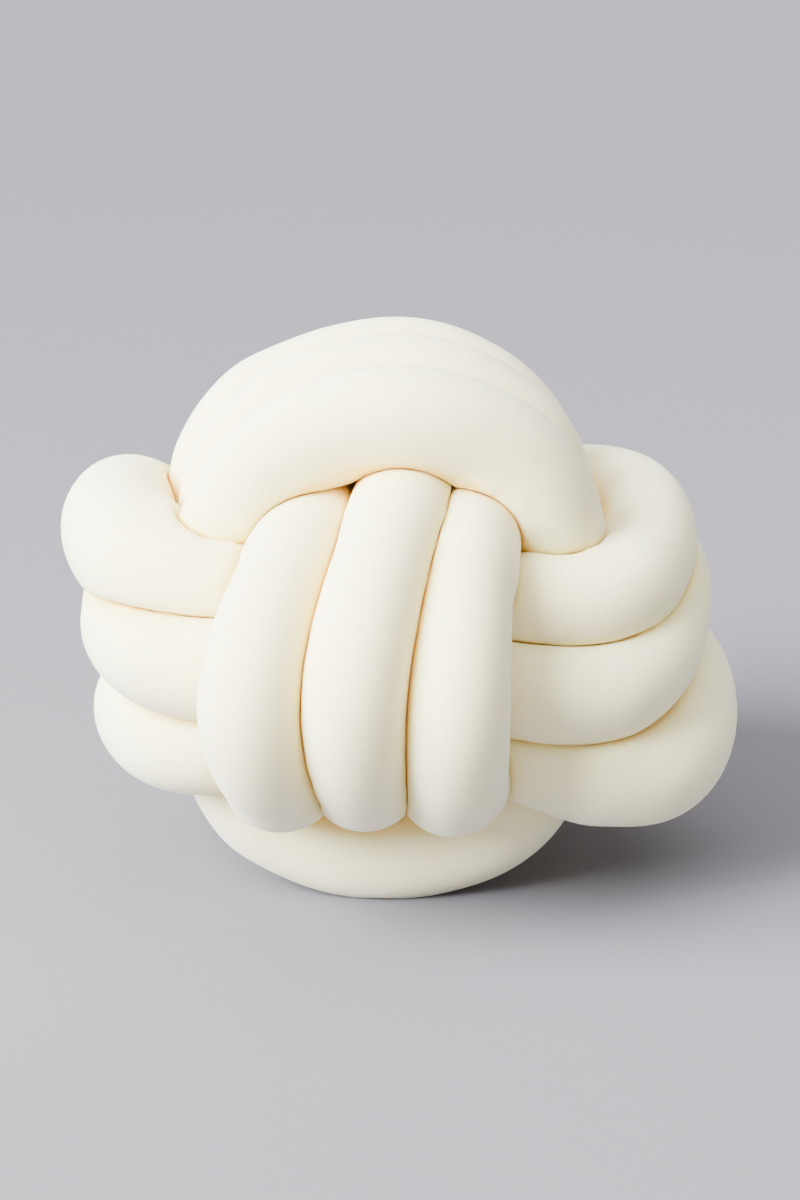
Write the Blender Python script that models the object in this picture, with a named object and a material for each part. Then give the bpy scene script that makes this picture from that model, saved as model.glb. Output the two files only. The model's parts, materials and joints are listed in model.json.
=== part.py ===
"""Knot cushion: one long stuffed plush tube wound into a ball-shaped three-pass knot.

The tube makes three turns over the top and under the bottom, then three level turns round
the sides, then three upright turns over the front and the back. Each set of turns lies
outside one of the others and inside the third, as in a monkey's fist. The two ends of the
tube are joined inside the ball, so the cushion is one closed tube.

The frame is metres, +Z up, the front face towards -Y, resting on the floor at z = 0.
"""

from collections import namedtuple

import bpy
import numpy as np
from mathutils.bvhtree import BVHTree

# ---- driving sizes -----------------------------------------------------------------------
TUBE_DIAMETER = 0.060  # the tables below are in these diameters
SLACK = 0.98  # the free tube's diameter over the nominal one
PRESSED_SWELL = 1.12  # how much a pressed section may grow to keep its girth
PASS_GAP = 0.0010  # between two passes of the tube that press together
EASE_ROUNDS = 60  # most rounds of drawing in the points whose flat faces would cross
EASE = 0.975  # how far each round draws them in
SECTIONS = 352  # along the tube
AROUND = 12  # points round a section
STEPS_PER_STATION = 24  # of the smooth centre line
SPAN_POWER = 0.75  # of the distance between two stations: lower rounds the short spans more
BEND_SHARE = 1.1  # extra sections in a bend, in diameters of length per radian
OWN_REACH = 0.18  # length of the tube, in diameters, that never presses on itself
WATCH_RADIUS = 1.35  # how far another pass can be and still press, in diameters
FAR = 10.0  # metres: a ray that nothing stops
ALMOST_NONE = 1e-6  # least lean of a ray towards what could stop it
HALVINGS = 20  # rounds of halving in the search for a section's radius

IVORY = (0.84, 0.81, 0.72)

# ---- the turns of the tube ----------------------------------------------------------------
OverTurn = namedtuple("OverTurn", "left_x left_y top_x top_y top_z right_x right_y under_x under_y under_z girth")
LevelTurn = namedtuple(
    "LevelTurn",
    "left_x left_y left_z front_left_z front_y front_z front_right_z right_x right_z back_y back_z "
    "left_girth right_girth left_corner right_corner",
)
UprightTurn = namedtuple("UprightTurn", "back_x back_y under_x under_z low_front_z front_x front_y top_x top_z")

OVER_TURNS = [  # front, middle, back
    OverTurn(-1.62, -0.95, 0.00, -1.18, 4.90, 1.49, -0.88, -0.24, -0.84, 0.41, 1.03),
    OverTurn(-1.74, -0.25, -0.06, -0.16, 4.98, 1.46, -0.12, -0.16, 0.00, 0.41, 1.03),
    OverTurn(-1.95, 0.48, 0.11, 0.82, 4.91, 1.37, 0.68, -0.15, 0.95, 0.41, 1.03),
]
LEVEL_TURNS = [  # lowest, middle, highest
    LevelTurn(-2.41, 0.00, 1.70, 1.84, -1.42, 2.02, 1.50, 2.76, 1.86, 1.42, 1.98, 1.15, 1.22, 0.86, 0.86),
    LevelTurn(-2.60, -0.45, 2.88, 2.72, -1.75, 2.66, 2.43, 2.56, 2.98, 1.75, 2.72, 1.00, 1.00, 0.86, 0.82),
    LevelTurn(-2.77, 0.00, 3.61, 3.42, -1.42, 3.26, 3.19, 2.42, 3.47, 1.42, 3.42, 1.11, 0.98, 0.82, 0.84),
]
UPRIGHT_TURNS = [  # right, middle, left
    UprightTurn(0.90, 2.60, 0.50, 1.38, 1.72, 0.51, -2.68, 0.64, 3.84),
    UprightTurn(-0.05, 2.75, -0.30, 1.40, 1.82, -0.41, -2.78, 0.12, 4.10),
    UprightTurn(-1.00, 2.60, -1.02, 1.40, 1.77, -1.34, -2.68, -0.78, 3.84),
]
OVER_CORNER = 0.77  # how square the corners of each set of turns are: 0.71 is round
UPRIGHT_CORNER = 0.80
UPRIGHT_TOP_CORNER = 0.758  # where the front of an upright turn goes in under the turns over the top
PINCHED_GIRTH = 0.94  # of an upright turn there

FRONT_TURN_LOW_LEFT = (-1.42, -0.70, 0.94)  # lower left shoulder of the front turn
UNDER_TO_LEVEL = (-1.75, 1.10, 0.85)  # from under the ball up to the lowest level
LEVEL_TO_UPRIGHT = (1.92, 1.74, 3.36)  # from the highest level down the back
TUCKED_TAIL = [  # from the last upright turn into the middle of the ball
    (-1.24, 1.22, 3.90),
    (-1.05, 1.60, 3.66),
    (-0.15, 1.42, 3.42),
    (0.62, 0.90, 3.30),
    (0.58, 0.10, 3.14),
    (-0.08, -0.34, 3.00),
    (-0.82, 0.18, 2.84),
    (-0.48, 0.88, 2.62),
    (0.28, 0.62, 2.40),
    (0.30, -0.22, 2.26),
    (-0.62, -0.42, 2.22),
]


def station(x, y, z, girth=1.0):
    return np.array([x, y, z, girth], float)


def corner(first, second, middle, squareness):
    """The rounded corner between two stations of a turn: out from the turn's middle by both."""
    point = middle + squareness * ((first - middle) + (second - middle))
    point[3] = (first[3] + second[3]) / 2
    return point


def over_turn(row, turn_before):
    """Left side, over the top, right side, under the bottom."""
    middle_z = (row.top_z + row.under_z) / 2
    left = station(row.left_x, row.left_y, middle_z)
    top = station(row.top_x, row.top_y, row.top_z, row.girth)
    right = station(row.right_x, row.right_y, middle_z)
    under = station(row.under_x, row.under_y, row.under_z)

    def between(side, end):
        middle = station(end[0], (side[1] + end[1]) / 2, middle_z)
        return corner(side, end, middle, OVER_CORNER)

    stations = [left, between(left, top), top, between(right, top), right, between(right, under), under]
    if turn_before is None:
        return stations
    if turn_before is OVER_TURNS[0]:
        return [station(*FRONT_TURN_LOW_LEFT)] + stations
    under_before = station(turn_before.under_x, turn_before.under_y, turn_before.under_z)
    return [between(left, under_before)] + stations


def level_turn(row, turn_before, last):
    """Left side, behind the front passes, right side, behind the back passes."""
    middle_x = (row.left_x + row.right_x) / 2
    left = station(row.left_x, row.left_y, row.left_z, row.left_girth)
    front = station(middle_x, row.front_y, row.front_z)
    right = station(row.right_x, 0.0, row.right_z, row.right_girth)
    back = station(middle_x, row.back_y, row.back_z)

    def between(side, end, height=None):
        middle = station(middle_x, side[1], (side[2] + end[2]) / 2)
        point = corner(side, end, middle, row.left_corner if side is left else row.right_corner)
        point[2] = middle[2] if height is None else height
        point[3] = side[3]
        return point

    stations = [left, between(left, front, row.front_left_z), front, between(right, front, row.front_right_z), right]
    if turn_before is not None:
        back_before = station(middle_x, turn_before.back_y, turn_before.back_z)
        back_corner = between(left, back_before)
        back_corner[3] = 1.0
        stations = [back_corner] + stations
    if not last:
        back_corner = between(right, back)
        back_corner[3] = 1.0
        stations += [back_corner, back]
    return stations


def upright_turn(row, turn_before):
    """Down the back, under, up the front, over."""
    middle_y = (row.front_y + row.back_y) / 2
    middle_z = (row.top_z + row.under_z) / 2
    back = station(row.back_x, row.back_y, middle_z)
    under = station(row.under_x, middle_y, row.under_z)
    front = station(row.front_x, row.front_y, middle_z)
    top = station(row.top_x, middle_y, row.top_z)

    def between(face, end, height=None, squareness=UPRIGHT_CORNER):
        middle = station((face[0] + end[0]) / 2, middle_y, middle_z)
        point = corner(face, end, middle, squareness)
        point[0] = middle[0]
        point[2] = point[2] if height is None else height
        return point

    pinched = between(front, top, squareness=UPRIGHT_TOP_CORNER)
    pinched[3] = PINCHED_GIRTH
    low_back = between(back, under, row.low_front_z)
    low_front = between(front, under, row.low_front_z)
    stations = [back, low_back, under, low_front, front, pinched, top]
    if turn_before is None:
        return stations
    top_before = station(turn_before.top_x, middle_y, turn_before.top_z)
    return [between(back, top_before)] + stations


def tube_stations():
    """Every station of the closed tube, in order along it, in metres with its girth."""
    stations = []
    for before, row in zip([None] + OVER_TURNS, OVER_TURNS):
        stations += over_turn(row, before)
    stations.append(station(*UNDER_TO_LEVEL))
    for before, row in zip([None] + LEVEL_TURNS, LEVEL_TURNS):
        stations += level_turn(row, before, row is LEVEL_TURNS[-1])
    stations.append(station(*LEVEL_TO_UPRIGHT))
    for before, row in zip([None] + UPRIGHT_TURNS, UPRIGHT_TURNS):
        stations += upright_turn(row, before)
    stations += [station(*point) for point in TUCKED_TAIL]
    return np.array(stations) * [TUBE_DIAMETER, TUBE_DIAMETER, TUBE_DIAMETER, 1.0]


def smooth_loop(stations):
    """Closed cubic spline through the stations, with continuous curvature."""
    count = len(stations)
    following = np.roll(stations, -1, 0)
    span = np.linalg.norm((following - stations)[:, :3], axis=1) ** SPAN_POWER
    span_before = np.roll(span, 1)
    row = np.arange(count)
    matrix = np.zeros((count, count))
    matrix[row, (row - 1) % count] = span_before
    matrix[row, row] = 2 * (span_before + span)
    matrix[row, (row + 1) % count] = span
    slope = (following - stations) / span[:, None]
    bend = np.linalg.solve(matrix, 6 * (slope - np.roll(slope, 1, 0)))

    bend_after = np.roll(bend, -1, 0)[:, None]
    bend = bend[:, None]
    span = span[:, None, None]
    along = np.linspace(0, 1, STEPS_PER_STATION, endpoint=False)[None, :, None] * span
    points = (bend * (span - along) ** 3 + bend_after * along**3) / (6 * span)
    points += (stations[:, None] / span - bend * span / 6) * (span - along)
    points += (following[:, None] / span - bend_after * span / 6) * along
    return points.reshape(-1, 4)


def spaced(line, count):
    """Points along the closed line, closer together where it bends."""
    closed = np.vstack([line, line[:1]])
    step = np.diff(closed[:, :3], axis=0)
    length = np.linalg.norm(step, axis=1)
    heading = step / length[:, None]
    turn = np.arccos(np.clip((heading * np.roll(heading, 1, 0)).sum(1), -1, 1))
    turn = (turn + np.roll(turn, -1)) / 2
    measure = np.concatenate([[0], np.cumsum(length + BEND_SHARE * TUBE_DIAMETER * turn)])
    at = np.linspace(0, measure[-1], count, endpoint=False)
    return np.stack([np.interp(at, measure, closed[:, axis]) for axis in range(4)], 1)


def section_axes(centres):
    """Two axes across each section that turn as little as they can along the tube.

    The small turn left over where the tube closes is shared out evenly along it."""
    along = np.roll(centres, -1, 0) - np.roll(centres, 1, 0)
    along /= np.linalg.norm(along, axis=1)[:, None]
    side = np.zeros_like(along)
    side[0] = np.cross(along[0], [0.3, 0.5, 0.8])
    side[0] /= np.linalg.norm(side[0])
    for index in range(1, len(along)):
        carried = side[index - 1] - along[index] * np.dot(side[index - 1], along[index])
        side[index] = carried / np.linalg.norm(carried)
    carried = side[-1] - along[0] * np.dot(side[-1], along[0])
    carried /= np.linalg.norm(carried)
    left_over = np.arctan2(np.dot(np.cross(carried, side[0]), along[0]), np.dot(carried, side[0]))
    turn = left_over * np.arange(len(along))[:, None] / len(along)
    up = np.cross(along, side)
    side = side * np.cos(turn) + up * np.sin(turn)
    return side, np.cross(along, side)


def reach(centres, rays, line):
    """How far each ray may go before it meets the floor or the plane midway to another pass."""
    limit = np.full(rays.shape[:2], FAR)
    length = np.linalg.norm(np.roll(line, -1, 0) - line, axis=1)
    place = np.cumsum(length) - length
    total = length.sum()
    for index, centre in enumerate(centres):
        offset = line - centre
        distance = np.linalg.norm(offset, axis=1)
        gap_along = np.abs(place - place[distance.argmin()])
        gap_along = np.minimum(gap_along, total - gap_along)
        near = (distance < WATCH_RADIUS * TUBE_DIAMETER) & (gap_along > OWN_REACH * TUBE_DIAMETER)
        away = distance[near]
        lean = np.maximum(rays[index] @ offset[near].T, ALMOST_NONE)
        limit[index] = (away * (away - PASS_GAP) / (2 * lean)).min(1)
    down = np.maximum(-rays[..., 2], ALMOST_NONE)
    return np.minimum(limit, centres[:, None, 2] / down)


def full_sections(rays, limit, free):
    """The radius of each section. A ray that is stopped by another pass ends there, and the
    rest of its section swells a little, as filling does, until it has its full girth again."""
    around = rays.shape[1]
    girth = 2 * around * free * np.sin(np.pi / around)
    smaller = free.copy()
    larger = free * PRESSED_SWELL
    for _ in range(HALVINGS):
        radius = (smaller + larger) / 2
        ring = rays * np.minimum(radius[:, None], limit)[..., None]
        short = np.linalg.norm(np.roll(ring, -1, 1) - ring, axis=2).sum(1) < girth
        smaller = np.where(short, radius, smaller)
        larger = np.where(short, larger, radius)
    return (np.roll(radius, 1) + 2 * radius + np.roll(radius, -1)) / 4


def skin_quads(count, around):
    """Corner numbers of every face of a skin closed both round and along."""
    along = np.arange(count)[:, None]
    across = np.arange(around)[None]
    next_ring = (along + 1) % count
    next_point = (across + 1) % around
    quads = [along * around + across, along * around + next_point]
    quads += [next_ring * around + next_point, next_ring * around + across]
    return np.stack(quads, -1).reshape(-1, 4)


def ease_apart(centres, rays, reached):
    """Draws points in until no flat face of one pass crosses a face of another pass."""
    count, around = reached.shape
    quads = skin_quads(count, around)
    triangles = np.concatenate([quads[:, [0, 1, 2]], quads[:, [0, 2, 3]]])
    corners = triangles.tolist()
    for _ in range(EASE_ROUNDS):
        swollen = centres[:, None] + rays * (reached + PASS_GAP / 4)[..., None]
        tree = BVHTree.FromPolygons(swollen.reshape(-1, 3).tolist(), corners, all_triangles=True)
        pairs = np.array(tree.overlap(tree), int).reshape(-1, 2)
        shared = (triangles[pairs[:, 0]][:, :, None] == triangles[pairs[:, 1]][:, None]).any((1, 2))
        crossing = np.unique(triangles[pairs[~shared].ravel()])
        if not len(crossing):
            break
        reached.reshape(-1)[crossing] *= EASE
    return reached


def tube_surface(line, count, around):
    """Rings of points round the tube, one ring for each of `count` sections."""
    sections = spaced(line, count)
    centres = sections[:, :3]
    side, up = section_axes(centres)
    angle = np.linspace(0, 2 * np.pi, around, endpoint=False)[None, :, None]
    rays = side[:, None] * np.cos(angle) + up[:, None] * np.sin(angle)
    limit = reach(centres, rays, line[:, :3])
    radius = full_sections(rays, limit, sections[:, 3] * TUBE_DIAMETER * SLACK / 2)
    reached = ease_apart(centres, rays, np.minimum(radius[:, None], limit))
    return centres[:, None] + rays * reached[..., None]


def over_origin(rings):
    """The rings moved level, so that the middle of their box is over the origin."""
    middle = (rings.min((0, 1)) + rings.max((0, 1))) / 2
    return rings - [middle[0], middle[1], 0.0]


def closed_tube(name, rings, material):
    """One mesh skin over the rings, closed both round and along."""
    count, around = rings.shape[:2]
    faces = skin_quads(count, around)
    mesh = bpy.data.meshes.new(name)
    mesh.from_pydata(rings.reshape(-1, 3).tolist(), [], faces.tolist())
    mesh.materials.append(material)
    mesh.shade_smooth()
    mesh.update()
    return bpy.data.objects.new(name, mesh)


def cloth_material(name, colour):
    material = bpy.data.materials.new(name)
    material.use_nodes = True
    shader = material.node_tree.nodes["Principled BSDF"]
    shader.inputs["Base Color"].default_value = (*colour, 1.0)
    shader.inputs["Roughness"].default_value = 0.95
    shader.inputs["Metallic"].default_value = 0.0
    return material


def clear_scene():
    for item in list(bpy.data.objects):
        bpy.data.objects.remove(item, do_unlink=True)


def build():
    clear_scene()
    collection = bpy.data.collections.new("knot cushion")
    bpy.context.scene.collection.children.link(collection)
    plush = cloth_material("ivory plush", IVORY)
    line = smooth_loop(tube_stations())
    rings = over_origin(tube_surface(line, SECTIONS, AROUND))
    collection.objects.link(closed_tube("knotted_tube", rings, plush))


build()
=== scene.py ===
"""Knot cushion, dressed: one long tube of brushed plush wound into a three-pass ball knot.

The tube's route is the same as in the part: three turns over the top and under the bottom,
three level turns round the sides, three upright turns over the front and the back. Here the
skin is fine enough for its wrinkles and creases, and it has its cloth.
"""

import json
import math
from collections import namedtuple

import bpy
import numpy as np
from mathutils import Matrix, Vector

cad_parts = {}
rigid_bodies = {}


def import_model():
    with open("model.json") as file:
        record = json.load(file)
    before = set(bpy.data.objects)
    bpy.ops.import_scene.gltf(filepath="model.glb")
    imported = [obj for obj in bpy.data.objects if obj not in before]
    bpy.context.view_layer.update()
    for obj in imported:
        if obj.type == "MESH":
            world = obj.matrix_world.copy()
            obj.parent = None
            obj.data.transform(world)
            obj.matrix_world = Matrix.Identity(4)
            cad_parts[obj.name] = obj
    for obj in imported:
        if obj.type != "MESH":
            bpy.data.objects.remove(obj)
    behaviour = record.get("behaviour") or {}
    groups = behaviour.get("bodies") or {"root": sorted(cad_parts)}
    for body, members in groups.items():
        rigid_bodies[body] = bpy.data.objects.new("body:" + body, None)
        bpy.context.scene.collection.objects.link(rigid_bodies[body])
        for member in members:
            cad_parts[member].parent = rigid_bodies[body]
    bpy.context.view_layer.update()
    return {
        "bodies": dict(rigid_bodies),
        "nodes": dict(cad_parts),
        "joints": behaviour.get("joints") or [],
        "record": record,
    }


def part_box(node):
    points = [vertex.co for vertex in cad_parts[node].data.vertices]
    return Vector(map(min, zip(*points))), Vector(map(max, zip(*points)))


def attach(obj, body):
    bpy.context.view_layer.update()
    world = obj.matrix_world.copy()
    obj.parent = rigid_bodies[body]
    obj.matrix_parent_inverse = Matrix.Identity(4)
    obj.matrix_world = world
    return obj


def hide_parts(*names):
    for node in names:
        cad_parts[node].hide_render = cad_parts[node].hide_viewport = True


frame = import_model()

TUBE_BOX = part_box("knotted_tube")

# ---- driving sizes, in metres ---------------------------------------------------------------
TUBE_DIAMETER = 0.060  # the tables below are in these diameters
SLACK = 0.98  # the free tube's diameter over the nominal one
PRESSED_SWELL = 1.12  # how much a pressed section may grow to keep its girth
PASS_GAP = 0.0003  # between two passes of the tube that press together
SECTIONS = 2000  # along the tube
AROUND = 48  # points round a section
STEPS_PER_STATION = 36  # of the smooth centre line, from one station to the next
SPAN_POWER = 0.75  # of the distance between two stations: lower rounds the short spans more
BEND_SHARE = 0.8  # extra sections in a bend, in diameters of length per radian
OWN_REACH = 0.18  # length of the tube, in diameters, that never presses on itself
PASS_APART = 1.5  # length of the tube, in diameters, past which it is another pass
WATCH_RADIUS = 1.35  # how far another pass can be and still press, in diameters
SHELTER_RADIUS = 2.2  # how far another pass can be and still keep light off, in diameters
BLOCK = 64  # sections worked out at a time
FAR = 10.0  # where a ray ends that nothing stops, and as far as any other pass
ALMOST_NONE = 1e-6  # least lean of a ray towards what could stop it
HALVINGS = 20  # rounds of halving in the search for a section's radius
EVENING_ROUNDS = 3  # rounds that even out a section's radius or bend along the tube

# ---- wrinkles: a short cloth simulation where bends leave the cloth slack ------------------------
SLACK_FROM = 0.07  # share of its length that the inside of a bend loses before its cloth is slack
SLACK_FULL = 0.28  # share at which it is as slack as it gets
LOOSE_SLACK = 0.33  # slackness at which the cloth is no longer held at all
LEAST_SLACK = 0.01  # slackness below which a section has no part in the simulation
END_SECTIONS = 2  # that still take part on either side of the slack ones
EXTRA_CLOTH = 0.16  # share of extra cloth where it is slackest
SETTLING_FRAMES = 20  # length of the simulation, in frames
SOLVER_STEPS = 2  # in each of its frames
FILLING_PRESSURE = 4.0  # how hard the filling presses outwards
CLOTH_STIFFNESS = 15.0  # against stretching and squeezing
CLOTH_BENDING = 0.05  # against folding
POINT_MASS = 0.02  # of one point of the cloth
MOST_MOVED = 0.0028  # how far the simulation alone may move the skin
PUCKER = 0.0004  # depth of the first unevenness that a wrinkle grows from
PUCKER_SPACING = 0.009  # length of its first wave along the tube
PUCKER_DRIFT = 1.37  # the second wave's length over the first's
PUCKER_SWAYS = (1.3, 1.7)  # how far each wave runs ahead and behind round the tube, in radians
PUCKER_LOBES = (3, 2)  # how many times each does so
PUCKER_START = 1.0  # angle at which the second one starts
WEIGHT_STEPS = 20  # of a vertex group, from none to full

# ---- the turns of the tube, in tube diameters ---------------------------------------------------
OverTurn = namedtuple(
    "OverTurn",
    "left_x left_y top_x top_y top_z right_x right_y under_x under_y under_z girth",
)
LevelTurn = namedtuple(
    "LevelTurn",
    "left_x left_y left_z front_left_z front_y front_z front_right_z right_x right_z back_y back_z "
    "left_girth right_girth left_corner right_corner",
)
UprightTurn = namedtuple(
    "UprightTurn",
    "back_x back_y under_x under_z low_front_z front_x front_y top_x top_z",
)

OVER_TURNS = [  # front, middle, back
    OverTurn(-1.62, -0.95, 0.00, -1.18, 4.90, 1.49, -0.88, -0.24, -0.84, 0.41, 1.03),
    OverTurn(-1.74, -0.25, -0.06, -0.16, 4.98, 1.46, -0.12, -0.16, 0.00, 0.41, 1.03),
    OverTurn(-1.95, 0.48, 0.11, 0.82, 4.91, 1.37, 0.68, -0.15, 0.95, 0.41, 1.03),
]
LEVEL_TURNS = [  # lowest, middle, highest
    LevelTurn(-2.41, 0.00, 1.70, 1.84, -1.42, 2.02, 1.50, 2.76, 1.86, 1.42, 1.98, 1.15, 1.22, 0.86, 0.86),
    LevelTurn(-2.60, -0.45, 2.88, 2.72, -1.75, 2.66, 2.43, 2.56, 2.98, 1.75, 2.72, 1.00, 1.00, 0.86, 0.82),
    LevelTurn(-2.77, 0.00, 3.61, 3.42, -1.42, 3.26, 3.19, 2.42, 3.47, 1.42, 3.42, 1.11, 0.98, 0.82, 0.84),
]
UPRIGHT_TURNS = [  # right, middle, left
    UprightTurn(0.90, 2.60, 0.50, 1.38, 1.72, 0.51, -2.68, 0.64, 3.84),
    UprightTurn(-0.05, 2.75, -0.30, 1.40, 1.82, -0.41, -2.78, 0.12, 4.10),
    UprightTurn(-1.00, 2.60, -1.02, 1.40, 1.77, -1.34, -2.68, -0.78, 3.84),
]
OVER_CORNER = 0.77  # how square the corners of each set of turns are: 0.71 is round
UPRIGHT_CORNER = 0.80
UPRIGHT_TOP_CORNER = 0.758  # where the front of an upright turn goes in under the turns over the top
PINCHED_GIRTH = 0.94  # of an upright turn there

FRONT_TURN_LOW_LEFT = (-1.42, -0.70, 0.94)  # lower left shoulder of the front turn
UNDER_TO_LEVEL = (-1.75, 1.10, 0.85)  # from under the ball up to the lowest level
LEVEL_TO_UPRIGHT = (1.92, 1.74, 3.36)  # from the highest level down the back
TUCKED_TAIL = [  # from the last upright turn into the middle of the ball
    (-1.24, 1.22, 3.90),
    (-1.05, 1.60, 3.66),
    (-0.15, 1.42, 3.42),
    (0.62, 0.90, 3.30),
    (0.58, 0.10, 3.14),
    (-0.08, -0.34, 3.00),
    (-0.82, 0.18, 2.84),
    (-0.48, 0.88, 2.62),
    (0.28, 0.62, 2.40),
    (0.30, -0.22, 2.26),
    (-0.62, -0.42, 2.22),
]

# ---- camera, floor and light --------------------------------------------------------------------
CAMERA_TARGET = (-0.001, 0.001, 0.165)
CAMERA_DISTANCE = 1.6
CAMERA_ELEVATION = math.radians(18)
CAMERA_LENS = 80
FLOOR_SIZE = 40.0  # so wide that its edge is never seen
FLOOR_COLOUR = (0.175, 0.170, 0.201)
FLOOR_SHINE = 0.1
FLOOR_CLOUD = 0.3  # size of its faint cloudiness
FLOOR_ROUGHNESS = (0.9, 1.0)
# Each light's place: degrees to the right of the camera, degrees up, and distance from the cushion.
SunLight = namedtuple("SunLight", "name across up softness strength colour")
PanelLight = namedtuple("PanelLight", "name across up distance size power colour")
SOFT_WHITE = (0.985, 1.0, 0.965)
SUN_LIGHTS = [
    SunLight("window_light", -60, 34, 40, 14.5, SOFT_WHITE),
    SunLight("ceiling_light", 0, 85, 70, 2.8, SOFT_WHITE),
]
PANEL_LIGHTS = [
    PanelLight("near_panel", -58, 30, 1.9, 1.2, 110, SOFT_WHITE),
]
ROOM_COLOUR = (0.98, 0.96, 0.89)
ROOM_LIGHT = 0.85
SUN_DISTANCE = 3.0

# ---- cloth --------------------------------------------------------------------------------------
IVORY = (0.950, 0.862, 0.590)
IVORY_SHADE = (0.943, 0.850, 0.565)
# Painted crease glow: a warm colour near the next pass that stands in for light bounced between passes and
# through the cloth.
PAINTED_CREASE_GLOW = (0.985, 0.790, 0.240)
# Painted crease shade: orange in the deepest creases and sheltered pockets, standing in for shade lit only
# by bounced light.
PAINTED_CREASE_SHADE = (0.995, 0.575, 0.075)
WIDEST_CREASE = 0.030  # past this far from the next pass, the cloth has its own colour
GLOW_REACH = 0.0055  # how far from the next pass the painted warm crease glow fades
CREASE_REACH = 0.0015  # how far from it the deepest painted crease shade fades
POCKET_REACH = 0.014  # how far the painted crease shade fades where other passes also shelter the cloth from light
MOST_SHELTER = 3.0  # 1 is a whole sky of other passes, and one behind another counts again
POCKET_SHELTER = (0.80, 1.30)  # from where to where the passes' shelter makes pockets of painted shade
CLOUD_SIZE = 0.030  # of the faint cloudiness between the two ivories
WALE = 0.0011  # width of one rib of the knit
COURSE = 0.0010  # height of one row of the knit
STITCH_SHARE = 0.25  # of the plush's height that is the knit below it
NAP_SIZE = 0.0025  # of the tufts that the brushing leaves
FINE_NAP_SIZE = 0.0007  # and of the fibres in them
FINE_NAP_SHARE = 0.5
NAP_DEPTH = 0.0004
NAP_STRENGTH = 0.35
FIBRE_SIZE = 0.002  # of the change in roughness
FIBRE_ROUGHNESS = (0.86, 0.98)
FIBRE_SHINE = 0.2
SHEEN = 0.15
SHEEN_ROUGHNESS = 0.5
FILLING_GLOW = 1.0  # share of the light that goes into the cloth and its filling
GLOW_DEPTH = (1.0, 0.78, 0.46)  # how far red, green and blue light goes, in GLOW_SCALE
GLOW_SCALE = 0.013


# ---- route of the tube ----------------------------------------------------------------------------
def station(x, y, z, girth=1.0):
    """A point that the tube's middle passes through, with the girth there."""
    return np.array([x, y, z, girth], float)


def corner(first, second, middle, squareness):
    """The rounded corner between two stations of a turn: out from the turn's middle by both."""
    point = middle + squareness * ((first - middle) + (second - middle))
    point[3] = (first[3] + second[3]) / 2
    return point


def over_turn(row, turn_before):
    """Left side, over the top, right side, under the bottom."""
    middle_z = (row.top_z + row.under_z) / 2
    left = station(row.left_x, row.left_y, middle_z)
    top = station(row.top_x, row.top_y, row.top_z, row.girth)
    right = station(row.right_x, row.right_y, middle_z)
    under = station(row.under_x, row.under_y, row.under_z)

    def between(side, end):
        """The corner from a side to the top or to the bottom."""
        middle = station(end[0], (side[1] + end[1]) / 2, middle_z)
        return corner(side, end, middle, OVER_CORNER)

    stations = [left, between(left, top), top, between(right, top), right, between(right, under), under]
    if turn_before is None:
        return stations
    if turn_before is OVER_TURNS[0]:
        return [station(*FRONT_TURN_LOW_LEFT)] + stations
    under_before = station(turn_before.under_x, turn_before.under_y, turn_before.under_z)
    return [between(left, under_before)] + stations


def level_turn(row, turn_before, last):
    """Left side, behind the front passes, right side, behind the back passes."""
    middle_x = (row.left_x + row.right_x) / 2
    left = station(row.left_x, row.left_y, row.left_z, row.left_girth)
    front = station(middle_x, row.front_y, row.front_z)
    right = station(row.right_x, 0.0, row.right_z, row.right_girth)
    back = station(middle_x, row.back_y, row.back_z)

    def between(side, end, height=None):
        """The corner from a side to the front or the back, at its own height or the given one."""
        middle = station(middle_x, side[1], (side[2] + end[2]) / 2)
        point = corner(side, end, middle, row.left_corner if side is left else row.right_corner)
        point[2] = middle[2] if height is None else height
        point[3] = side[3]
        return point

    front_left = between(left, front, row.front_left_z)
    front_right = between(right, front, row.front_right_z)
    stations = [left, front_left, front, front_right, right]
    if turn_before is not None:
        back_before = station(middle_x, turn_before.back_y, turn_before.back_z)
        back_corner = between(left, back_before)
        back_corner[3] = 1.0
        stations = [back_corner] + stations
    if not last:
        back_corner = between(right, back)
        back_corner[3] = 1.0
        stations += [back_corner, back]
    return stations


def upright_turn(row, turn_before):
    """Down the back, under, up the front, over."""
    middle_y = (row.front_y + row.back_y) / 2
    middle_z = (row.top_z + row.under_z) / 2
    back = station(row.back_x, row.back_y, middle_z)
    under = station(row.under_x, middle_y, row.under_z)
    front = station(row.front_x, row.front_y, middle_z)
    top = station(row.top_x, middle_y, row.top_z)

    def between(face, end, height=None, squareness=UPRIGHT_CORNER):
        """The corner from the front or the back to the top or the bottom, midway across."""
        middle = station((face[0] + end[0]) / 2, middle_y, middle_z)
        point = corner(face, end, middle, squareness)
        point[0] = middle[0]
        point[2] = point[2] if height is None else height
        return point

    pinched = between(front, top, squareness=UPRIGHT_TOP_CORNER)
    pinched[3] = PINCHED_GIRTH
    low_back = between(back, under, row.low_front_z)
    low_front = between(front, under, row.low_front_z)
    stations = [back, low_back, under, low_front, front, pinched, top]
    if turn_before is None:
        return stations
    top_before = station(turn_before.top_x, middle_y, turn_before.top_z)
    return [between(back, top_before)] + stations


def tube_stations():
    """Every station of the closed tube, in order along it, in metres with its girth."""
    stations = []
    for before, row in zip([None] + OVER_TURNS, OVER_TURNS):
        stations += over_turn(row, before)
    stations.append(station(*UNDER_TO_LEVEL))
    for before, row in zip([None] + LEVEL_TURNS, LEVEL_TURNS):
        stations += level_turn(row, before, row is LEVEL_TURNS[-1])
    stations.append(station(*LEVEL_TO_UPRIGHT))
    for before, row in zip([None] + UPRIGHT_TURNS, UPRIGHT_TURNS):
        stations += upright_turn(row, before)
    stations += [station(*point) for point in TUCKED_TAIL]
    return np.array(stations) * [TUBE_DIAMETER, TUBE_DIAMETER, TUBE_DIAMETER, 1.0]


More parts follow.
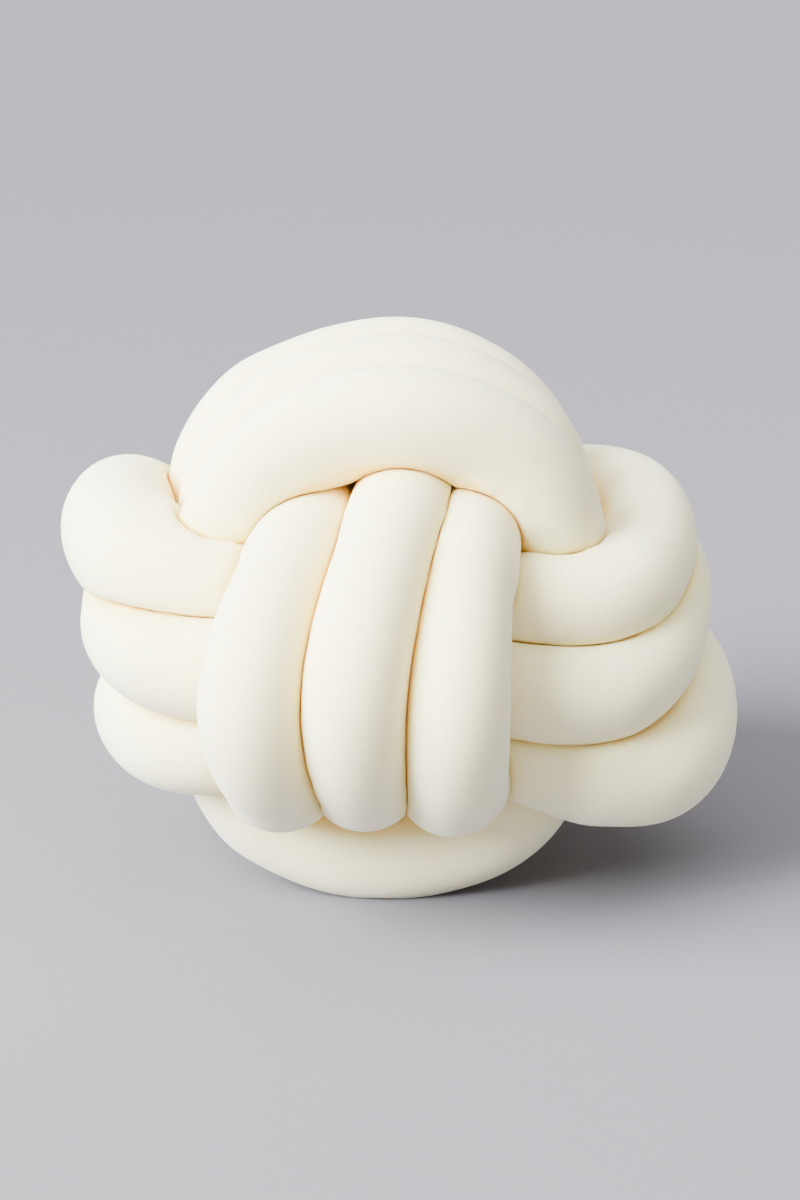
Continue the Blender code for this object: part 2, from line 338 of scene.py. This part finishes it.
def smooth_loop(stations):
    """Closed cubic spline through the stations. On each span the point is a cubic of the
    distance along it, and slope and curvature carry over from span to span; the spans are
    as long as the straight distance to the power SPAN_POWER."""
    count = len(stations)
    following = np.roll(stations, -1, 0)
    span = np.linalg.norm((following - stations)[:, :3], axis=1) ** SPAN_POWER
    span_before = np.roll(span, 1)
    row = np.arange(count)
    matrix = np.zeros((count, count))
    matrix[row, (row - 1) % count] = span_before
    matrix[row, row] = 2 * (span_before + span)
    matrix[row, (row + 1) % count] = span
    slope = (following - stations) / span[:, None]
    bend = np.linalg.solve(matrix, 6 * (slope - np.roll(slope, 1, 0)))

    bend_after = np.roll(bend, -1, 0)[:, None]
    bend = bend[:, None]
    span = span[:, None, None]
    along = np.linspace(0, 1, STEPS_PER_STATION, endpoint=False)[None, :, None] * span
    points = (bend * (span - along) ** 3 + bend_after * along**3) / (6 * span)
    points += (stations[:, None] / span - bend * span / 6) * (span - along)
    points += (following[:, None] / span - bend_after * span / 6) * along
    return points.reshape(-1, 4)


def spaced(line, count):
    """Points along the closed line: equal steps of length plus a share of the turn angle."""
    closed = np.vstack([line, line[:1]])
    step = np.diff(closed[:, :3], axis=0)
    length = np.linalg.norm(step, axis=1)
    heading = step / length[:, None]
    turn = np.arccos(np.clip((heading * np.roll(heading, 1, 0)).sum(1), -1, 1))
    turn = (turn + np.roll(turn, -1)) / 2
    measure = np.concatenate([[0], np.cumsum(length + BEND_SHARE * TUBE_DIAMETER * turn)])
    at = np.linspace(0, measure[-1], count, endpoint=False)
    return np.stack([np.interp(at, measure, closed[:, axis]) for axis in range(4)], 1)


# ---- skin of the tube -----------------------------------------------------------------------------
def unit(vectors):
    """The vectors, each over its own length."""
    return vectors / np.linalg.norm(vectors, axis=-1, keepdims=True)


def evened(values, axis=0, rounds=1):
    """The values with each one, in every round, a quarter of each neighbour's and half of its
    own. Axis 0 is along the tube and axis 1 round it."""
    for _ in range(rounds):
        values = (np.roll(values, 1, axis) + 2 * values + np.roll(values, -1, axis)) / 4
    return values


def section_axes(centres):
    """Two axes across each section that turn as little as they can along the tube.

    Each section starts with any axis square to the tube. The least rotation from one section
    to the next carries that axis to an angle from the next section's own, and the sum of
    those angles from the start is how far the section is turned back. What is left where the
    tube closes is shared out evenly along it."""
    along = unit(np.roll(centres, -1, 0) - np.roll(centres, 1, 0))
    side = unit(np.cross(along, np.eye(3)[np.abs(along).argmin(1)]))
    following, next_side = np.roll(along, -1, 0), np.roll(side, -1, 0)
    lean = (following * side).sum(1) / (1 + (along * following).sum(1))
    carried = side - lean[:, None] * (along + following)
    angle = np.arctan2((np.cross(next_side, carried) * following).sum(1), (next_side * carried).sum(1))
    turn = np.concatenate([[0], np.cumsum(angle[:-1])])
    left_over = (turn[-1] + angle[-1] + np.pi) % (2 * np.pi) - np.pi
    turn = (turn - left_over * np.arange(len(turn)) / len(turn))[:, None]
    up = np.cross(along, side)
    side = side * np.cos(turn) + up * np.sin(turn)
    return side, np.cross(along, side)


def blocks(count):
    """The sections in turn, a block at a time."""
    return [slice(start, min(start + BLOCK, count)) for start in range(0, count, BLOCK)]


def other_passes(centres, line, near=WATCH_RADIUS, apart=OWN_REACH):
    """For each section, which points of the centre line can press on it or shade it: near
    enough, and far enough along the tube, both in tube diameters."""
    length = np.linalg.norm(np.roll(line, -1, 0) - line, axis=1)
    place = np.cumsum(length) - length
    distance = np.linalg.norm(line - centres[:, None], axis=2)
    gap_along = np.abs(place - place[distance.argmin(1)][:, None])
    gap_along = np.minimum(gap_along, length.sum() - gap_along)
    return (distance < near * TUBE_DIAMETER) & (gap_along > apart * TUBE_DIAMETER)


def reach(centres, rays, line):
    """How far each ray may go before it meets the floor or the plane midway to another pass:
    half of the distance to that pass, over the cosine of the angle between."""
    limit = np.empty(rays.shape[:2])
    for block in blocks(len(centres)):
        offset = line - centres[block, None]
        distance = np.linalg.norm(offset, axis=2)
        lean = np.maximum(np.einsum("sak,slk->sal", rays[block], offset), ALMOST_NONE)
        stop = (distance * (distance - PASS_GAP) / 2)[:, None] / lean
        stop = np.where(other_passes(centres[block], line)[:, None], stop, FAR)
        limit[block] = stop.min(2)
    down = np.maximum(-rays[..., 2], ALMOST_NONE)
    return np.minimum(limit, centres[:, None, 2] / down)


def full_sections(rays, limit, free):
    """The radius of each section. A ray that is stopped by another pass ends there, and the
    rest of its section swells a little, as filling does, until it has its full girth again.
    The radius is found by halving, then smoothed along the tube."""
    around = rays.shape[1]
    girth = 2 * around * free * np.sin(np.pi / around)
    smaller = free.copy()
    larger = free * PRESSED_SWELL
    for _ in range(HALVINGS):
        radius = (smaller + larger) / 2
        ring = rays * np.minimum(radius[:, None], limit)[..., None]
        short = np.linalg.norm(np.roll(ring, -1, 1) - ring, axis=2).sum(1) < girth
        smaller = np.where(short, radius, smaller)
        larger = np.where(short, larger, radius)
    return evened(radius, rounds=EVENING_ROUNDS)


def slackness(centres, rays, radius):
    """How slack the cloth is at each point, 0 to 1. The inside of a bend is shorter than the
    tube's middle by the radius times the curvature times the cosine of the angle towards the
    bend's middle; slackness rises smoothly with that share."""
    step = np.linalg.norm(np.roll(centres, -1, 0) - centres, axis=1)
    along = unit(np.roll(centres, -1, 0) - centres)
    bend = (along - np.roll(along, 1, 0)) / ((step + np.roll(step, 1)) / 2)[:, None]
    bend = evened(bend, rounds=EVENING_ROUNDS)
    lost = np.einsum("sak,sk->sa", rays, bend) * radius
    rise = np.clip((lost - SLACK_FROM) / (SLACK_FULL - SLACK_FROM), 0, 1)
    return rise * rise * (3 - 2 * rise)


def puckered(rings, rays, slack):
    """The rings with a faint unevenness where the cloth is slack: the mean of two sine waves of
    the place along the tube, each ahead and behind by a sine or cosine of the angle round it."""
    middle = rings.mean(1)
    place = np.cumsum(np.linalg.norm(np.roll(middle, -1, 0) - middle, axis=1))[:, None]
    angle = np.linspace(0, 2 * np.pi, rings.shape[1], endpoint=False)[None]
    first_sway = PUCKER_SWAYS[0] * np.sin(PUCKER_LOBES[0] * angle)
    second_sway = PUCKER_SWAYS[1] * np.cos(PUCKER_LOBES[1] * angle + PUCKER_START)
    first = np.sin(2 * np.pi * place / PUCKER_SPACING + first_sway)
    second = np.sin(2 * np.pi * place / (PUCKER_DRIFT * PUCKER_SPACING) + second_sway)
    return rings + rays * (PUCKER * slack * (first + second) / 2)[..., None]


def weigh(item, name, values):
    """A vertex group from values between 0 and 1, rounded to steps."""
    group = item.vertex_groups.new(name=name)
    level = np.rint(values.ravel() * WEIGHT_STEPS).astype(int)
    for step in range(1, WEIGHT_STEPS + 1):
        group.add(np.flatnonzero(level == step).tolist(), step / WEIGHT_STEPS, "REPLACE")


def slack_lengths(slack):
    """Which sections are on or next to slack cloth, the faces between those that follow on, and
    which sections end such a length."""
    count, around = slack.shape
    near = slack.max(1) > LEAST_SLACK
    for _ in range(END_SECTIONS):
        near = near | np.roll(near, 1) | np.roll(near, -1)
    kept = np.flatnonzero(near)
    faces = skin_quads(len(kept), around).reshape(len(kept), around, 4)
    follows = (np.roll(kept, -1) - kept) % count == 1
    held_end = ~(follows & np.roll(follows, 1))
    return kept, faces[follows].reshape(-1, 4), held_end


def settled(rings, slack):
    """The rings after a short cloth simulation of the lengths that have slack cloth: the filling
    presses outwards, cloth on the inside of the bends is longer than it needs to be, and all
    the rest is held."""
    scene = bpy.context.scene
    kept, faces, held_end = slack_lengths(slack)
    work = bpy.data.objects.new("cloth_at_work", skin_mesh("cloth_at_work", rings[kept], faces))
    scene.collection.objects.link(work)
    weigh(work, "taut", 1 - slack[kept])
    held = 1 - np.clip(slack[kept] / LOOSE_SLACK, 0, 1)
    held[held_end] = 1
    weigh(work, "held", held)
    cloth = work.modifiers.new("cloth", "CLOTH")
    settings = cloth.settings
    settings.quality = SOLVER_STEPS
    settings.mass = POINT_MASS
    settings.tension_stiffness = CLOTH_STIFFNESS
    settings.compression_stiffness = CLOTH_STIFFNESS
    settings.bending_stiffness = CLOTH_BENDING
    settings.use_pressure = True
    settings.uniform_pressure_force = FILLING_PRESSURE
    settings.vertex_group_mass = "held"
    settings.vertex_group_shrink = "taut"
    settings.shrink_min = -EXTRA_CLOTH
    settings.shrink_max = 0.0
    settings.effector_weights.gravity = 0.0
    cloth.point_cache.frame_start = 1
    cloth.point_cache.frame_end = SETTLING_FRAMES
    for frame in range(1, SETTLING_FRAMES + 1):
        scene.frame_set(frame)
    shape = work.evaluated_get(bpy.context.evaluated_depsgraph_get()).data
    points = np.empty(rings[kept].size, np.float32)
    shape.vertices.foreach_get("co", points)
    bpy.data.objects.remove(work, do_unlink=True)
    scene.frame_set(1)
    settled_rings = rings.copy()
    settled_rings[kept] = points.reshape(rings[kept].shape)
    return settled_rings


def wrinkled(rings, centres, rays, line):
    """The rings with the wrinkles of the slack cloth. The simulation moves no point further than
    MOST_MOVED. A point that would then be in another pass or the floor is drawn back towards
    its own middle, which can take it further."""
    radius = np.linalg.norm(rings - centres[:, None], axis=2)
    slack = slackness(centres, rays, radius)
    moved = settled(puckered(rings, rays, slack), slack) - rings
    moved = evened(evened(moved), axis=1)
    far = np.linalg.norm(moved, axis=2, keepdims=True)
    moved *= MOST_MOVED * np.tanh(far / MOST_MOVED) / np.maximum(far, ALMOST_NONE)
    spokes = rings + moved - centres[:, None]
    length = np.linalg.norm(spokes, axis=2)
    spokes = unit(spokes)
    return centres[:, None] + spokes * np.minimum(length, reach(centres, spokes, line))[..., None]


def clearance(points, centres, line):
    """How far each point of the skin is from the skin of the nearest other pass: its distance
    to that pass's middle less that pass's own radius, and at most WIDEST_CREASE."""
    skin = line[:, 3] * TUBE_DIAMETER * SLACK / 2
    line = line[:, :3]
    clear = np.empty(points.shape[:2])
    for block in blocks(len(points)):
        others = other_passes(centres[block], line, apart=PASS_APART)
        used = np.flatnonzero(others.any(0))
        offset = np.linalg.norm(points[block][:, :, None] - line[used], axis=3) - skin[used]
        clear[block] = np.where(others[:, None, used], offset, FAR).min(2, initial=FAR)
    return np.clip(clear, 0, WIDEST_CREASE)


def shelter(points, outward, centres, line):
    """How much of the light on each point the other passes keep off: the sum over the pieces of
    those passes of the piece's area, times the cosine of the angle from straight out, over pi
    times the square of its distance. It passes 1 where one pass lies behind another, and is
    at most MOST_SHELTER."""
    step = np.linalg.norm(np.roll(line, -1, 0) - line, axis=1)[:, None]
    kept_off = np.empty(points.shape[:2])
    for block in blocks(len(points)):
        others = other_passes(centres[block], line, SHELTER_RADIUS, PASS_APART)
        used = np.flatnonzero(others.any(0))
        offset = line[used] - points[block][:, :, None]
        distance = np.linalg.norm(offset, axis=3)
        facing = np.einsum("sak,salk->sal", outward[block], offset) / distance
        share = TUBE_DIAMETER * step[used, 0] * np.maximum(facing, 0) / (np.pi * distance**2)
        kept_off[block] = (share * others[:, None, used]).sum(2)
    return np.clip(kept_off, 0, MOST_SHELTER)


def over_cad(rings):
    """The rings moved level, so that the middle of their box is that of the CAD tube."""
    middle = (rings.min((0, 1)) + rings.max((0, 1))) / 2
    target = (TUBE_BOX[0] + TUBE_BOX[1]) / 2
    return rings + [target[0] - middle[0], target[1] - middle[1], 0.0]


def skin_quads(count, around):
    """Corner numbers of every face of a skin closed both round and along."""
    along = np.arange(count)[:, None]
    across = np.arange(around)[None]
    next_ring = (along + 1) % count
    next_point = (across + 1) % around
    quads = [along * around + across, along * around + next_point]
    quads += [next_ring * around + next_point, next_ring * around + across]
    return np.stack(quads, -1).reshape(-1, 4)


def knit_map(rings):
    """The knit's own map: ribs counted round the tube and rows counted along it, both whole
    numbers, so that the pattern meets itself where the skin closes."""
    count, around = rings.shape[:2]
    middle = rings.mean(1)
    length = np.linalg.norm(np.roll(middle, -1, 0) - middle, axis=1)
    ribs = round(math.pi * TUBE_DIAMETER / WALE)
    rows = round(length.sum() / COURSE)
    at = np.concatenate([[0], np.cumsum(length)]) / length.sum() * rows
    round_at = np.arange(around + 1) / around * ribs
    corners_round = np.stack([round_at[:-1], round_at[1:], round_at[1:], round_at[:-1]], 1)
    corners_along = np.stack([at[:-1], at[:-1], at[1:], at[1:]], 1)
    shape = (count, around, 4)
    both = [np.broadcast_to(corners_round[None], shape), np.broadcast_to(corners_along[:, None], shape)]
    return np.stack(both, -1)


def skin_mesh(name, rings, quads):
    """One mesh skin over the rings."""
    mesh = bpy.data.meshes.new(name)
    mesh.vertices.add(rings.size // 3)
    mesh.vertices.foreach_set("co", rings.ravel())
    mesh.loops.add(quads.size)
    mesh.loops.foreach_set("vertex_index", quads.ravel())
    mesh.polygons.add(len(quads))
    mesh.polygons.foreach_set("loop_start", np.arange(0, quads.size, 4))
    mesh.update(calc_edges=True)
    return mesh


def tube_mesh(name, rings, values):
    """The skin with the knit's map and the named value of each point."""
    mesh = skin_mesh(name, rings, skin_quads(*rings.shape[:2]))
    knit = mesh.uv_layers.new(name="knit")
    knit.data.foreach_set("uv", knit_map(rings).ravel())
    for value_name, value in values.items():
        mesh.attributes.new(value_name, "FLOAT", "POINT").data.foreach_set("value", value.ravel())
    mesh.shade_smooth()
    mesh.validate()
    return mesh


def knotted_tube():
    """The whole tube, pressed passes and all, where the CAD tube lies."""
    line = smooth_loop(tube_stations())
    sections = spaced(line, SECTIONS)
    centres = sections[:, :3]
    side, up = section_axes(centres)
    angle = np.linspace(0, 2 * np.pi, AROUND, endpoint=False)[None, :, None]
    rays = side[:, None] * np.cos(angle) + up[:, None] * np.sin(angle)
    limit = reach(centres, rays, line[:, :3])
    free = sections[:, 3] * TUBE_DIAMETER * SLACK / 2
    radius = full_sections(rays, limit, free)
    rings = centres[:, None] + rays * np.minimum(radius[:, None], limit)[..., None]
    rings = wrinkled(rings, centres, rays, line[:, :3])
    # Masks for the cloth's painted crease light and shade: clearance to the next pass and shelter from
    # light.
    values = {
        "clearance": clearance(rings, centres, line),
        "shelter": shelter(rings, unit(rings - centres[:, None]), centres, line[:, :3]),
    }
    tube = bpy.data.objects.new("plush_tube", tube_mesh("plush_tube", over_cad(rings), values))
    bpy.context.scene.collection.objects.link(tube)
    return tube


# ---- cloth --------------------------------------------------------------------------------------
def mottle_group():
    """Soft cloudy variation: noise of the given size, as a value from Low to High."""
    group = bpy.data.node_groups.new("mottle", "ShaderNodeTree")
    for name, value in (("Size", 0.02), ("Low", 0.0), ("High", 1.0)):
        socket = group.interface.new_socket(name, in_out="INPUT", socket_type="NodeSocketFloat")
        socket.default_value = value
    group.interface.new_socket("Value", in_out="OUTPUT", socket_type="NodeSocketFloat")
    nodes, links = group.nodes, group.links
    inputs = nodes.new("NodeGroupInput")
    outputs = nodes.new("NodeGroupOutput")
    place = nodes.new("ShaderNodeTexCoord")
    count = nodes.new("ShaderNodeMath")
    count.operation = "DIVIDE"
    count.inputs[0].default_value = 1.0
    noise = nodes.new("ShaderNodeTexNoise")
    noise.inputs["Detail"].default_value = 3.0
    spread = nodes.new("ShaderNodeMapRange")
    spread.inputs["From Min"].default_value = 0.3
    spread.inputs["From Max"].default_value = 0.7
    links.new(inputs.outputs["Size"], count.inputs[1])
    links.new(place.outputs["Object"], noise.inputs["Vector"])
    links.new(count.outputs["Value"], noise.inputs["Scale"])
    links.new(noise.outputs["Fac"], spread.inputs["Value"])
    links.new(inputs.outputs["Low"], spread.inputs["To Min"])
    links.new(inputs.outputs["High"], spread.inputs["To Max"])
    links.new(spread.outputs["Result"], outputs.inputs["Value"])
    return group


def mottle(tree, group, size, low, high):
    """The mottle group placed in a material."""
    node = tree.nodes.new("ShaderNodeGroup")
    node.node_tree = group
    node.inputs["Size"].default_value = size
    node.inputs["Low"].default_value = low
    node.inputs["High"].default_value = high
    return node.outputs["Value"]


def colour_mix(tree, factor, first, second):
    """Blend of two colours; either may be a socket or three numbers."""
    mix = tree.nodes.new("ShaderNodeMix")
    mix.data_type = "RGBA"
    tree.links.new(factor, mix.inputs["Factor"])
    for name, colour in (("A", first), ("B", second)):
        if isinstance(colour, tuple):
            mix.inputs[name].default_value = (*colour, 1.0)
        else:
            tree.links.new(colour, mix.inputs[name])
    return mix.outputs["Result"]


def math_node(tree, operation, first, second):
    """One piece of arithmetic; either value may be a socket or a number."""
    node = tree.nodes.new("ShaderNodeMath")
    node.operation = operation
    for index, value in enumerate((first, second)):
        if isinstance(value, float):
            node.inputs[index].default_value = value
        else:
            tree.links.new(value, node.inputs[index])
    return node.outputs["Value"]


def skin_value(tree, name):
    """A value that the skin's points carry."""
    node = tree.nodes.new("ShaderNodeAttribute")
    node.attribute_name = name
    return node.outputs["Fac"]


def fading(tree, distance, reach):
    """e to the power of minus the distance over the reach."""
    return math_node(tree, "POWER", math.e, math_node(tree, "MULTIPLY", distance, -1 / reach))


def rising(tree, value, low, high):
    """0 at the low value, 1 at the high one, smooth from one to the other."""
    node = tree.nodes.new("ShaderNodeMapRange")
    node.interpolation_type = "SMOOTHSTEP"
    node.inputs["From Min"].default_value = low
    node.inputs["From Max"].default_value = high
    tree.links.new(value, node.inputs["Value"])
    return node.outputs["Result"]


def wave(tree, count):
    """Sine of the count, one wave for each whole number."""
    return math_node(tree, "SINE", math_node(tree, "MULTIPLY", count, 2 * math.pi), 0.0)


def plush(group):
    """Brushed ivory plush on a fine knit, with painted warm light and shade where two passes of the tube
    press together:
    deepest in the crease itself and in the pockets that several passes shelter from light."""
    material = bpy.data.materials.new("ivory_plush")
    material.use_nodes = True
    tree = material.node_tree
    shader = tree.nodes["Principled BSDF"]
    shader.inputs["Sheen Weight"].default_value = SHEEN
    shader.inputs["Sheen Roughness"].default_value = SHEEN_ROUGHNESS
    shader.inputs["Specular IOR Level"].default_value = FIBRE_SHINE
    shader.inputs["Subsurface Weight"].default_value = FILLING_GLOW
    shader.inputs["Subsurface Radius"].default_value = GLOW_DEPTH
    shader.inputs["Subsurface Scale"].default_value = GLOW_SCALE

    # Painted crease light and shade: the base colour turns warm near the next pass and orange in creases
    # and sheltered pockets.
    clear = skin_value(tree, "clearance")
    sheltered = skin_value(tree, "shelter")
    inside = rising(tree, sheltered, *POCKET_SHELTER)
    painted_pocket_shade = math_node(tree, "MULTIPLY", fading(tree, clear, POCKET_REACH), inside)
    painted_deep_shade = math_node(tree, "MAXIMUM", fading(tree, clear, CREASE_REACH), painted_pocket_shade)
    cloth = colour_mix(tree, mottle(tree, group, CLOUD_SIZE, 0.0, 1.0), IVORY, IVORY_SHADE)
    # The painted glow and the painted shade are mixed into the cloth's own colour.
    cloth = colour_mix(tree, fading(tree, clear, GLOW_REACH), cloth, PAINTED_CREASE_GLOW)
    cloth = colour_mix(tree, painted_deep_shade, cloth, PAINTED_CREASE_SHADE)
    tree.links.new(cloth, shader.inputs["Base Color"])
    tree.links.new(mottle(tree, group, FIBRE_SIZE, *FIBRE_ROUGHNESS), shader.inputs["Roughness"])

    knit = tree.nodes.new("ShaderNodeUVMap")
    knit.uv_map = "knit"
    split = tree.nodes.new("ShaderNodeSeparateXYZ")
    tree.links.new(knit.outputs["UV"], split.inputs["Vector"])
    ribs = wave(tree, split.outputs["X"])
    rows = wave(tree, split.outputs["Y"])
    stitches = math_node(tree, "MULTIPLY", math_node(tree, "ADD", ribs, rows), STITCH_SHARE)
    tufts = mottle(tree, group, NAP_SIZE, 0.0, 1.0)
    fibres = mottle(tree, group, FINE_NAP_SIZE, 0.0, FINE_NAP_SHARE)
    nap = math_node(tree, "ADD", tufts, fibres)
    height = math_node(tree, "ADD", stitches, nap)
    bump = tree.nodes.new("ShaderNodeBump")
    bump.inputs["Strength"].default_value = NAP_STRENGTH
    bump.inputs["Distance"].default_value = NAP_DEPTH
    tree.links.new(height, bump.inputs["Height"])
    tree.links.new(bump.outputs["Normal"], shader.inputs["Normal"])
    return material


# ---- studio -------------------------------------------------------------------------------------
def studio_camera():
    """Camera that looks down at the front of the cushion."""
    camera = bpy.data.objects.new("camera", bpy.data.cameras.new("camera"))
    camera.data.lens = CAMERA_LENS
    target = Vector(CAMERA_TARGET)
    level, rise = math.cos(CAMERA_ELEVATION), math.sin(CAMERA_ELEVATION)
    camera.location = target + CAMERA_DISTANCE * Vector((0.0, -level, rise))
    camera.rotation_euler = (target - camera.location).to_track_quat("-Z", "Y").to_euler()
    bpy.context.scene.collection.objects.link(camera)
    bpy.context.scene.camera = camera


def studio_floor(group):
    """Plain pale floor."""
    half = FLOOR_SIZE / 2
    mesh = bpy.data.meshes.new("floor")
    corners = [(-half, -half, 0), (half, -half, 0), (half, half, 0), (-half, half, 0)]
    mesh.from_pydata(corners, [], [(0, 1, 2, 3)])
    floor = bpy.data.objects.new("floor", mesh)
    material = bpy.data.materials.new("pale_floor")
    material.use_nodes = True
    tree = material.node_tree
    shader = tree.nodes["Principled BSDF"]
    shader.inputs["Base Color"].default_value = (*FLOOR_COLOUR, 1.0)
    shader.inputs["Specular IOR Level"].default_value = FLOOR_SHINE
    tree.links.new(mottle(tree, group, FLOOR_CLOUD, *FLOOR_ROUGHNESS), shader.inputs["Roughness"])
    mesh.materials.append(material)
    bpy.context.scene.collection.objects.link(floor)


def add_light(name, kind, across, up, distance):
    """A light that faces the cushion."""
    light = bpy.data.objects.new(name, bpy.data.lights.new(name, kind))
    across, up = math.radians(across), math.radians(up)
    level = math.cos(up)
    away = Vector((math.sin(across) * level, -math.cos(across) * level, math.sin(up)))
    target = Vector(CAMERA_TARGET)
    light.location = target + distance * away
    light.rotation_euler = (-away).to_track_quat("-Z", "Y").to_euler()
    bpy.context.scene.collection.objects.link(light)
    return light.data


def studio_lights():
    """Wide soft light from the left and from above, and a panel nearer by on the left."""
    for row in SUN_LIGHTS:
        sun = add_light(row.name, "SUN", row.across, row.up, SUN_DISTANCE)
        sun.angle = math.radians(row.softness)
        sun.energy = row.strength
        sun.color = row.colour
    for row in PANEL_LIGHTS:
        panel = add_light(row.name, "AREA", row.across, row.up, row.distance)
        panel.size = row.size
        panel.energy = row.power
        panel.color = row.colour


def room_light():
    """Even light from all round."""
    world = bpy.data.worlds.new("room")
    world.use_nodes = True
    background = world.node_tree.nodes["Background"]
    background.inputs["Color"].default_value = (*ROOM_COLOUR, 1.0)
    background.inputs["Strength"].default_value = ROOM_LIGHT
    bpy.context.scene.world = world


mottle_nodes = mottle_group()
studio_camera()
studio_floor(mottle_nodes)
studio_lights()
room_light()

tube = knotted_tube()
tube.data.materials.append(plush(mottle_nodes))
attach(tube, "root")
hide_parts("knotted_tube")
